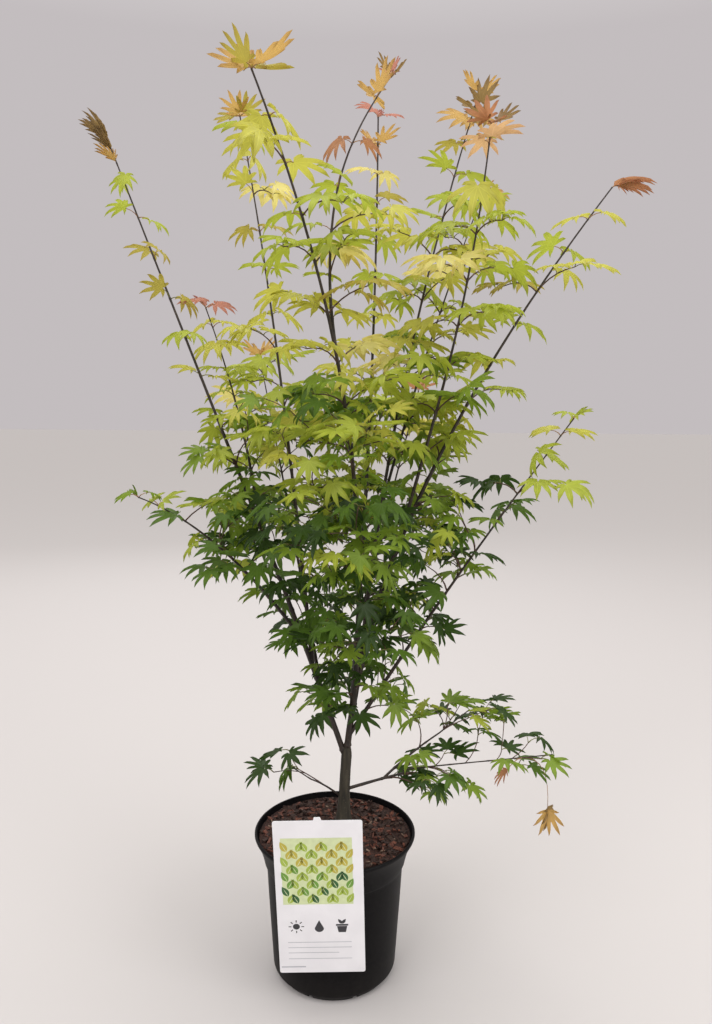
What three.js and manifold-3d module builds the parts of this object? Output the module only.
// A young Japanese maple in a plastic nursery pot, in millimetres, +Z up.
// The origin is the centre of the pot's flat underside. +X is the plant's right and -Y its front,
// where the picture card hangs on the rim.
//
// A single trunk rises from the compost and forks low down. From the fork, long thin stems fan out,
// and shoots leave them. The foliage is a dense lower crown of separate masses and, above it, one
// slender tiered mass round the leafy top of each stem or shoot. A stem ends where it enters its own
// leafy top, and the masses of the lower crown are cut round the stems that run up through them.
import * as THREE from "three";
import { mergeVertices } from "three/addons/utils/BufferGeometryUtils.js";
import Module from "manifold-3d";

const wasm = await Module();
wasm.setup();

// ---------------------------------------------------------------- driving dimensions

const GAP = 0.3; // clearance between pieces that touch

const POT = {
  height: 172,
  rimRadius: 95,
  collarHeight: 36, // the flared band below the rim
  collarRadius: 82, // where the band meets the wall
  collarStep: 1, // how far the band stands out from the wall, and the wall back from it
  wallLowRadius: 73, // where the wall meets the foot
  footHeight: 8,
  footRadius: 67,
  wall: 1.5,
  lip: 4, // the rolled lip's depth
  lining: 0.6, // how much thicker the wall is at the facets' middles, so that it stays whole
  segments: 24,
};
const DRAIN = { count: 8, radius: 3.5, height: 3, depth: 12, tilt: 60, sides: 8 };

const SOIL = { top: 168.5, edge: 165.5, patchRadius: 24, ripple: 0.6, segments: 20 };

const CARD = {
  width: 95,
  length: 196,
  thickness: 0.9,
  cornerRadius: 2.5,
  tabWidth: 9,
  tabHeight: 4,
  tabSlope: 1.5,
  lean: 8.6, // degrees, from the rim down to just in front of the wall
  turn: 1.6, // degrees, top edge to the left
  middle: [-13.6, 141.2], // x and height of the card's middle
};
const HOOK = { width: 30, thickness: 0.9, drop: 5 };

const TRUNK = {
  x: 10, // stands a little right of the pot's middle
  forkHeight: 262,
  forkShift: 3, // lean to the right, up to the fork
  radius: 5.6,
  forkRadius: 6.2,
  flareRadius: 12.5, // at the compost
  flareHeight: 18,
};

// Each stem starts part of the way up its parent. Its tip is given by bearing (degrees, 0 to the
// right, 90 to the back), reach from the trunk's axis and height. Bow is how far its middle lies
// off the straight line, as right, back and up. Leafy is where along it the leafy top begins.
const STEMS = [
  { name: "stem_left", from: "trunk", at: 0.95, bearing: 176, reach: 278, top: 962,
    bow: [8, 0, 0], foot: 3.6, tip: 1.2, leafy: 0.56 },
  { name: "stem_right", from: "trunk", at: 0.95, bearing: -4, reach: 290, top: 902,
    bow: [-60, 0, 0], foot: 4.2, tip: 1.3, leafy: 0.6 },
  { name: "stem_front", from: "stem_right", at: 0.055, bearing: -116, reach: 176, top: 962,
    bow: [40, 10, 0], foot: 3.7, tip: 1.5, leafy: 0.6 },
  { name: "stem_back", from: "stem_right", at: 0.07, bearing: 78, reach: 164, top: 1034,
    bow: [6, 0, 0], foot: 3.4, tip: 1.3, leafy: 0.55 },
  { name: "shoot_left_inner", from: "stem_left", at: 0.16, bearing: 142, reach: 162, top: 1018,
    bow: [4, 0, 0], foot: 2.7, tip: 1.1, leafy: 0.53 },
  { name: "shoot_left_short", from: "stem_left", at: 0.39, bearing: 161, reach: 182, top: 792,
    bow: [8, 0, 0], foot: 2.0, tip: 1.0, leafy: 0.52 },
  { name: "shoot_left_low", from: "stem_left", at: 0.2, bearing: 187, reach: 240, top: 572,
    bow: [0, -4, 28], foot: 2.3, tip: 1.0, leafy: 0.62 },
  { name: "shoot_middle", from: "stem_front", at: 0.65, bearing: -60, reach: 63, top: 1024,
    bow: [-23, 0, 0], foot: 1.9, tip: 1.0, leafy: 0.3 },
  { name: "shoot_right_inner", from: "stem_right", at: 0.165, bearing: 19, reach: 153, top: 1024,
    bow: [-18, -4, 0], foot: 2.7, tip: 1.2, leafy: 0.5 },
  { name: "shoot_right_tall", from: "stem_right", at: 0.25, bearing: -27, reach: 174, top: 950,
    bow: [8, 5, 0], foot: 2.7, tip: 1.2, leafy: 0.52 },
  { name: "shoot_right_behind", from: "shoot_right_inner", at: 0.28, bearing: 37, reach: 206, top: 938,
    bow: [-6, -4, 0], foot: 1.9, tip: 1.0, leafy: 0.4 },
  { name: "shoot_right_low", from: "stem_right", at: 0.045, bearing: -7, reach: 248, top: 662,
    bow: [-6, -4, 0], foot: 2.6, tip: 1.0, leafy: 0.62 },
  { name: "shoot_back_left", from: "stem_left", at: 0.12, bearing: 124, reach: 218, top: 742,
    bow: [0, 10, 0], foot: 2.4, tip: 1.0, leafy: 0.66 },
  { name: "shoot_back_right", from: "stem_back", at: 0.14, bearing: 64, reach: 214, top: 700,
    bow: [0, 10, 0], foot: 2.2, tip: 1.0, leafy: 0.64 },
  { name: "branch_low_right", from: "trunk", at: 0.55, bearing: -2, reach: 238, top: 281,
    bow: [0, -5, 8], foot: 2.1, tip: 1.0, leafy: 0.3 },
  { name: "branch_low_upper", from: "branch_low_right", at: 0.19, bearing: 12, reach: 208, top: 316,
    bow: [0, 0, 15], foot: 1.6, tip: 0.9, leafy: 0.42 },
  { name: "branch_low_left", from: "trunk", at: 0.42, bearing: 186, reach: 95, top: 236,
    bow: [0, 0, 15], foot: 1.4, tip: 0.8, leafy: 0.42 },
];

// The leafy tops: half width at the widest tier, how many tiers of leaves, how far the last leaves
// stand past the stem's tip, and the leaf colour that prevails.
const LEAFY_TOPS = {
  stem_left: { name: "leaves_far_left", width: 34, tiers: 6, past: 18, tint: "gold" },
  stem_right: { name: "leaves_far_right", width: 42, tiers: 6, past: 26, tint: "gold" },
  stem_front: { name: "leaves_front", width: 47, tiers: 6, past: 26, tint: "gold" },
  stem_back: { name: "leaves_back", width: 46, tiers: 7, past: 20, tint: "lime" },
  shoot_left_inner: { name: "leaves_left_inner", width: 48, tiers: 7, past: 20, tint: "lime" },
  shoot_left_short: { name: "leaves_left_short", width: 34, tiers: 3, past: 16, tint: "lime" },
  shoot_left_low: { name: "leaves_left_low", width: 26, tiers: 3, past: 16, tint: "green" },
  shoot_middle: { name: "leaves_middle", width: 38, tiers: 5, past: 18, tint: "copper" },
  shoot_right_inner: { name: "leaves_right_inner", width: 46, tiers: 7, past: 22, tint: "lime" },
  shoot_right_tall: { name: "leaves_right_tall", width: 46, tiers: 6, past: 20, tint: "gold" },
  shoot_right_behind: { name: "leaves_right_behind", width: 42, tiers: 5, past: 18, tint: "lime" },
  shoot_right_low: { name: "leaves_right_low", width: 34, tiers: 4, past: 20, tint: "green" },
  shoot_back_left: { name: "leaves_back_left", width: 38, tiers: 3, past: 18, tint: "green" },
  shoot_back_right: { name: "leaves_back_right", width: 38, tiers: 3, past: 18, tint: "green" },
};

// The lower crown is rings of masses round the trunk's axis, each ring wider than the one below.
// A ring has its height, how far its middle stands right of the axis, the distance out of its masses,
// and their half sizes: along the ring, out, up.
const RINGS = [
  { name: "crown_low", tint: "dark", height: 346, right: 5, out: 33, half: [40, 26, 38],
    bearings: { right: 8, back: 95, left: 188, front: 268 } },
  { name: "crown_mid", tint: "dark", height: 436, right: 16, out: 62, half: [60, 42, 48],
    bearings: { right: 12, back: 95, left: 178, front: 272 } },
  { name: "crown_wide", tint: "green", height: 535, right: -3, out: 110, half: [74, 48, 58],
    bearings: { right: 4, back: 88, left: 176, front: 268 } },
  { name: "crown_top", tint: "green", height: 643, right: -10, out: 114, half: [68, 44, 42],
    bearings: { right: 20, back: 100, left: 172, front: 262 } },
];

// Flat sprays near the pot, and one leaf that hangs alone: middle and half sizes.
const SPRAYS = [
  { name: "spray_low_inner", tint: "dark", middle: [112, -14, 250], half: [54, 36, 24] },
  { name: "spray_low_outer", tint: "dark", middle: [216, -10, 264], half: [54, 40, 24] },
  { name: "spray_low_upper", tint: "dark", middle: [154, 38, 297], half: [72, 34, 21] },
  { name: "spray_low_left", tint: "dark", middle: [-52, -8, 250], half: [44, 34, 28] },
  { name: "hanging_leaf", tint: "copper", middle: [250, -8, 206], half: [20, 10, 46] },
];

// ---------------------------------------------------------------- finishes

const finish = (color, roughness) => new THREE.MeshStandardMaterial({ color, roughness, metalness: 0 });
const BLACK_PLASTIC = finish(0x1c1b1e, 0.45);
const COMPOST = finish(0x3a241c, 0.95);
const WHITE_CARD = finish(0xf1eff2, 0.4);
const BARK = finish(0x3b3a2a, 0.8);
const SHOOT_BARK = finish(0x3c2a2b, 0.7);
const LEAF = {
  dark: finish(0x2f5a1c, 0.6),
  green: finish(0x5c8f1e, 0.6),
  lime: finish(0xa3b32f, 0.6),
  gold: finish(0xc9a23c, 0.6),
  copper: finish(0xb5713e, 0.6),
};

// ---------------------------------------------------------------- making solids

const root = new THREE.Group();
const degrees = THREE.MathUtils.degToRad;

// A closed geometry as a manifold-3d solid, for cutting.
function solidOf(geometry) {
  const plain = geometry.clone();
  for (const name of Object.keys(plain.attributes)) if (name !== "position") plain.deleteAttribute(name);
  const merged = mergeVertices(plain, 1e-3);
  return new wasm.Manifold(
    new wasm.Mesh({
      numProp: 3,
      vertProperties: merged.attributes.position.array,
      triVerts: new Uint32Array(merged.index.array),
    }),
  );
}

// The largest piece of a solid: a cut can leave crumbs beside it.
function wholePiece(solid) {
  return solid.decompose().reduce((a, b) => (b.volume() > a.volume() ? b : a));
}

function addGeometry(name, geometry, material) {
  const mesh = new THREE.Mesh(geometry, material);
  mesh.name = name;
  root.add(mesh);
  return mesh;
}

function addSolid(name, solid, material) {
  const { vertProperties, triVerts } = solid.getMesh();
  const geometry = new THREE.BufferGeometry();
  geometry.setAttribute("position", new THREE.BufferAttribute(vertProperties, 3));
  geometry.setIndex(new THREE.BufferAttribute(triVerts, 1));
  return addGeometry(name, geometry, material);
}

// A lathe about +Z from a list of [radius, height].
function turned(profile, segments) {
  const points = profile.map(([r, z]) => new THREE.Vector2(r, z));
  return new THREE.LatheGeometry(points, segments).rotateX(Math.PI / 2);
}

// Bends a unit cylinder along a stretch of a curve. radius(t, angle) gives its half width.
function swept(curve, start, end, radius, sides, steps) {
  const geometry = new THREE.CylinderGeometry(1, 1, 1, sides, steps);
  const place = geometry.attributes.position;
  const back = new THREE.Vector3(0, 1, 0);
  for (let i = 0; i < place.count; i++) {
    const [x, y, z] = [place.getX(i), place.getY(i), place.getZ(i)];
    const share = y + 0.5;
    const t = start + (end - start) * share;
    const along = curve.getTangent(Math.min(t, 1));
    const side = new THREE.Vector3().crossVectors(along, back).normalize();
    const third = new THREE.Vector3().crossVectors(side, along);
    const half = Math.hypot(x, z) < 1e-6 ? 0 : radius(share, Math.atan2(z, x));
    const p = beyond(curve, t);
    p.addScaledVector(side, x * half).addScaledVector(third, z * half);
    place.setXYZ(i, p.x, p.y, p.z);
  }
  return geometry;
}

// A point on a curve, carried straight on past its end.
function beyond(curve, t) {
  if (t <= 1) return curve.getPoint(t);
  return curve.getPoint(1).addScaledVector(curve.getTangent(1), (t - 1) * curve.getLength());
}

// ---------------------------------------------------------------- pot

const potInner = (z) => {
  const { height, rimRadius, collarHeight, collarRadius, wallLowRadius, footHeight, footRadius, wall } = POT;
  const levels = [
    [0, footRadius],
    [footHeight, wallLowRadius],
    [height - collarHeight, collarRadius],
    [height - POT.lip, rimRadius - 0.5],
    [height, rimRadius],
  ];
  const k = Math.max(1, levels.findIndex(([level]) => level >= z));
  const [[z0, r0], [z1, r1]] = [levels[k - 1], levels[k]];
  return r0 + ((r1 - r0) * (z - z0)) / (z1 - z0) - wall;
};

function makePot() {
  const { height, rimRadius, collarHeight, collarRadius, wallLowRadius, footHeight, footRadius, wall } = POT;
  const collarBase = height - collarHeight;
  const outer = [
    [0, 0],
    [footRadius - 1.5, 0],
    [footRadius, 1.5],
    [wallLowRadius, footHeight],
    [collarRadius - POT.collarStep, collarBase - 2],
    [collarRadius + POT.collarStep, collarBase + 1],
    [rimRadius - 0.5, height - POT.lip],
    [rimRadius, height - 1.5],
    [rimRadius - 1, height],
  ];
  const levels = [height - 1.2, height - POT.lip, collarBase, footHeight];
  const inner = levels.map((z) => [potInner(z) - POT.lining, z]);
  const floor = [
    [footRadius - wall - 2, wall],
    [0, wall],
  ];
  let pot = solidOf(turned([...outer, ...inner, ...floor], POT.segments));
  for (let i = 0; i < DRAIN.count; i++) {
    const hole = new THREE.CylinderGeometry(DRAIN.radius, DRAIN.radius, DRAIN.depth, DRAIN.sides);
    hole.rotateZ(degrees(-DRAIN.tilt)).translate(footRadius, 0, DRAIN.height);
    hole.rotateZ(degrees((360 * (i + 0.5)) / DRAIN.count));
    pot = pot.subtract(solidOf(hole));
  }
  addSolid("pot", wholePiece(pot), BLACK_PLASTIC);
}

// The compost fills the pot to just below its rim, with an uneven top that is flat round the trunk.
function makeSoil() {
  const edge = (z) => potInner(z) - POT.lining - GAP;
  const collarBase = POT.height - POT.collarHeight;
  const rim = SOIL.edge;
  const rise = SOIL.top - rim;
  const profile = [
    [0, POT.wall + GAP],
    [POT.footRadius - POT.wall - 4, POT.wall + GAP],
    [edge(POT.footHeight) - 0.5, POT.footHeight],
    [edge(collarBase) - 0.5, collarBase],
    [edge(rim) - 0.5, rim],
    [70, rim + 0.2 * rise],
    [46, rim + 0.6 * rise],
    [SOIL.patchRadius, SOIL.top],
    [0, SOIL.top],
  ];
  const geometry = turned(profile, SOIL.segments);
  const place = geometry.attributes.position;
  for (let i = 0; i < place.count; i++) {
    const [x, y, z] = [place.getX(i), place.getY(i), place.getZ(i)];
    const out = Math.hypot(x, y);
    const loose = z > rim - 1 && out > SOIL.patchRadius + 1 && out < edge(rim) - 2;
    if (loose) place.setZ(i, z + SOIL.ripple * Math.sin(x / 9) * Math.cos(y / 11));
  }
  addGeometry("soil", geometry, COMPOST);
}

// ---------------------------------------------------------------- picture card

function roundedCard() {
  const [w, h, r] = [CARD.width / 2, CARD.length / 2, CARD.cornerRadius];
  const tab = CARD.tabWidth / 2;
  const shape = new THREE.Shape();
  shape.moveTo(-w + r, -h);
  shape.lineTo(w - r, -h).quadraticCurveTo(w, -h, w, -h + r);
  shape.lineTo(w, h - r).quadraticCurveTo(w, h, w - r, h);
  shape.lineTo(tab, h).lineTo(tab - CARD.tabSlope, h + CARD.tabHeight);
  shape.lineTo(CARD.tabSlope - tab, h + CARD.tabHeight).lineTo(-tab, h);
  shape.lineTo(-w + r, h).quadraticCurveTo(-w, h, -w, h - r);
  shape.lineTo(-w, -h + r).quadraticCurveTo(-w, -h, -w + r, -h);
  return shape;
}

// The card stands up from its middle, leans back under the rim and rests against it.
function makeCard() {
  const sheet = { depth: CARD.thickness, bevelEnabled: false, curveSegments: 3 };
  const card = new THREE.ExtrudeGeometry(roundedCard(), sheet);
  const lean = degrees(CARD.lean);
  card.rotateZ(degrees(CARD.turn)).rotateX(Math.PI / 2 + lean);
  const [x, z] = CARD.middle;
  const rimFront = POT.rimRadius + GAP;
  const lipHeight = POT.height - POT.lip; // the card rests on the lip here
  const out = rimFront + CARD.thickness / Math.cos(lean) - (lipHeight - z) * Math.tan(lean);
  card.translate(x, -out - 0.2, z);
  addGeometry("label_card", card, WHITE_CARD);
}

// A folded strip on the card's back that sits over the rim and reaches down inside the pot.
function makeHook() {
  const over = POT.height + GAP;
  const { thickness: t, drop, width } = HOOK;
  const front = -(POT.rimRadius + GAP) - 0.4;
  const wallRadius = potInner(over - drop) - POT.lining - GAP;
  const inside = -Math.sqrt(wallRadius ** 2 - (width / 2 - CARD.middle[0]) ** 2) + 1;
  const side = new THREE.Shape();
  side.moveTo(front, over);
  side.lineTo(inside, over).lineTo(inside, over - drop).lineTo(inside + t, over - drop);
  side.lineTo(inside + t, over + t).lineTo(front, over + t).lineTo(front, over);
  const hook = new THREE.ExtrudeGeometry(side, { depth: HOOK.width, bevelEnabled: false });
  hook.rotateY(Math.PI / 2).rotateX(Math.PI / 2);
  hook.translate(CARD.middle[0] - HOOK.width / 2, 0, 0);
  addGeometry("label_hook", hook, WHITE_CARD);
}

// ---------------------------------------------------------------- trunk and stems

const curves = {};
const limbs = []; // each with its solid and the same solid grown by the gap

function makeTrunk() {
  const foot = new THREE.Vector3(TRUNK.x, 0, SOIL.top + GAP);
  const fork = new THREE.Vector3(TRUNK.x + TRUNK.forkShift, 0, TRUNK.forkHeight);
  const middle = new THREE.Vector3(foot.x, 0, (foot.z + fork.z) / 2); // so that it leaves the compost upright
  const curve = new THREE.QuadraticBezierCurve3(foot, middle, fork);
  curves.trunk = curve;
  const rise = fork.z - foot.z;
  const radius = (grow) => (t, angle) => {
    const plain = THREE.MathUtils.lerp(TRUNK.radius, TRUNK.forkRadius, t);
    const flare = (TRUNK.flareRadius - TRUNK.radius) * Math.exp((-t * rise) / TRUNK.flareHeight);
    return plain + flare * (1 + 0.25 * Math.sin(3 * angle + 1)) + grow;
  };
  const solid = solidOf(swept(curve, 0, 1, radius(0), 12, 8));
  const grown = solidOf(swept(curve, 0, 1 + GAP / rise, radius(GAP), 12, 8));
  limbs.push({ name: "trunk", solid, grown, material: BARK });
}

function stemCurve({ from, at, bearing, reach, top, bow }) {
  const foot = curves[from].getPoint(at);
  const out = degrees(bearing);
  const axis = TRUNK.x + TRUNK.forkShift;
  const tip = new THREE.Vector3(axis + reach * Math.cos(out), reach * Math.sin(out), top);
  const middle = foot.clone().lerp(tip, 0.5).addScaledVector(new THREE.Vector3(...bow), 2);
  return new THREE.QuadraticBezierCurve3(foot, middle, tip);
}

function makeStem(stem) {
  const curve = stemCurve(stem);
  curves[stem.name] = curve;
  const end = stem.leafy - (GAP + 0.2) / curve.getLength();
  const radius = (grow) => (share) => THREE.MathUtils.lerp(stem.foot, stem.tip, share * end) + grow;
  const sides = stem.foot > 3 ? 7 : 6;
  const steps = Math.max(5, Math.round((curve.getLength() * end) / 48));
  const grown = solidOf(swept(curve, 0, end, radius(GAP), sides, steps));
  let solid = solidOf(swept(curve, 0, end, radius(0), sides, steps));
  for (const limb of limbs) solid = solid.subtract(limb.grown);
  limbs.push({ name: stem.name, solid: wholePiece(solid), grown, material: SHOOT_BARK });
}

// ---------------------------------------------------------------- foliage

const masses = []; // each with its solid and the same solid grown by the gap

// Each new mass is cut round every limb and round every mass made before it.
function addMass(name, shape, material) {
  let solid = solidOf(shape(0));
  for (const piece of [...limbs, ...masses]) solid = solid.subtract(piece.grown);
  masses.push({ name, solid: wholePiece(solid), grown: solidOf(shape(GAP)), material });
}

// A slender mass of tiers. Maple leaves stand in pairs, each pair across the one below it, so a
// tier is wide one way and the next tier wide the other way.
function makeLeafyTop(stem) {
  const { name, width, tiers, past, tint } = LEAFY_TOPS[stem.name];
  const curve = curves[stem.name];
  const end = 1 + past / curve.getLength();
  const shape = (grow) => {
    const radius = (t, angle) => {
      const tier = t * tiers;
      const bulge = 0.5 - 0.5 * Math.cos(2 * Math.PI * tier);
      const pair = Math.cos(2 * angle + Math.PI * Math.floor(tier) + stem.bearing);
      const spindle = 0.74 + 0.42 * Math.sin(Math.PI * Math.min(1, t * 0.85 + 0.1)) - 0.16 * t;
      const ragged = 1 + 0.1 * Math.sin(5 * tier + 3 * angle + stem.top);
      const closing = t < 0.001 || t > 0.999 ? 0.3 : 1;
      return width * closing * spindle * (0.52 + 0.38 * bulge * (1 + 0.3 * pair)) * ragged + grow;
    };
    return swept(curve, stem.leafy, end, radius, 6, 2 * tiers);
  };
  addMass(name, shape, LEAF[tint]);
}

// A rounded, uneven mass with a flatter underside.
function lump(middle, [along, out, up], turn, seed, grow) {
  const geometry = new THREE.SphereGeometry(1, 9, 6).rotateX(Math.PI / 2);
  const place = geometry.attributes.position;
  for (let i = 0; i < place.count; i++) {
    const [x, y, z] = [place.getX(i), place.getY(i), place.getZ(i)];
    const angle = Math.atan2(y, x);
    const belt = Math.sqrt(Math.max(0, 1 - z * z));
    const lobes = 0.13 * Math.sin(3 * angle + seed) + 0.09 * Math.sin(5 * angle - 2 * seed + 4 * z);
    const push = 1 + belt * lobes;
    const down = z < 0 ? 0.78 : 1;
    place.setXYZ(i, x * (along * push + grow), y * (out * push + grow), z * (up * down * push + grow));
  }
  return geometry.rotateZ(turn).translate(...middle);
}

function makeRing(ring, level) {
  const axis = TRUNK.x + TRUNK.forkShift + ring.right;
  Object.entries(ring.bearings).forEach(([side, bearing], i) => {
    const out = degrees(bearing);
    const stagger = (i % 2 ? 1 : -1) * 6;
    const middle = [axis + ring.out * Math.cos(out), ring.out * Math.sin(out), ring.height + stagger];
    const shape = (grow) => lump(middle, ring.half, out - Math.PI / 2, level * 2 + i * 1.7, grow);
    addMass(ring.name + "_" + side, shape, LEAF[ring.tint]);
  });
}

function makeSprays() {
  SPRAYS.forEach(({ name, tint, middle, half }, i) => {
    addMass(name, (grow) => lump(middle, half, 0, i * 2.3, grow), LEAF[tint]);
  });
}

// ---------------------------------------------------------------- the whole plant

makePot();
makeSoil();
makeCard();
makeHook();
makeTrunk();
STEMS.forEach(makeStem);
STEMS.filter(({ name }) => name in LEAFY_TOPS).forEach(makeLeafyTop);
RINGS.forEach(makeRing);
makeSprays();
for (const { name, solid, material } of [...limbs, ...masses]) addSolid(name, solid, material);

export default root;
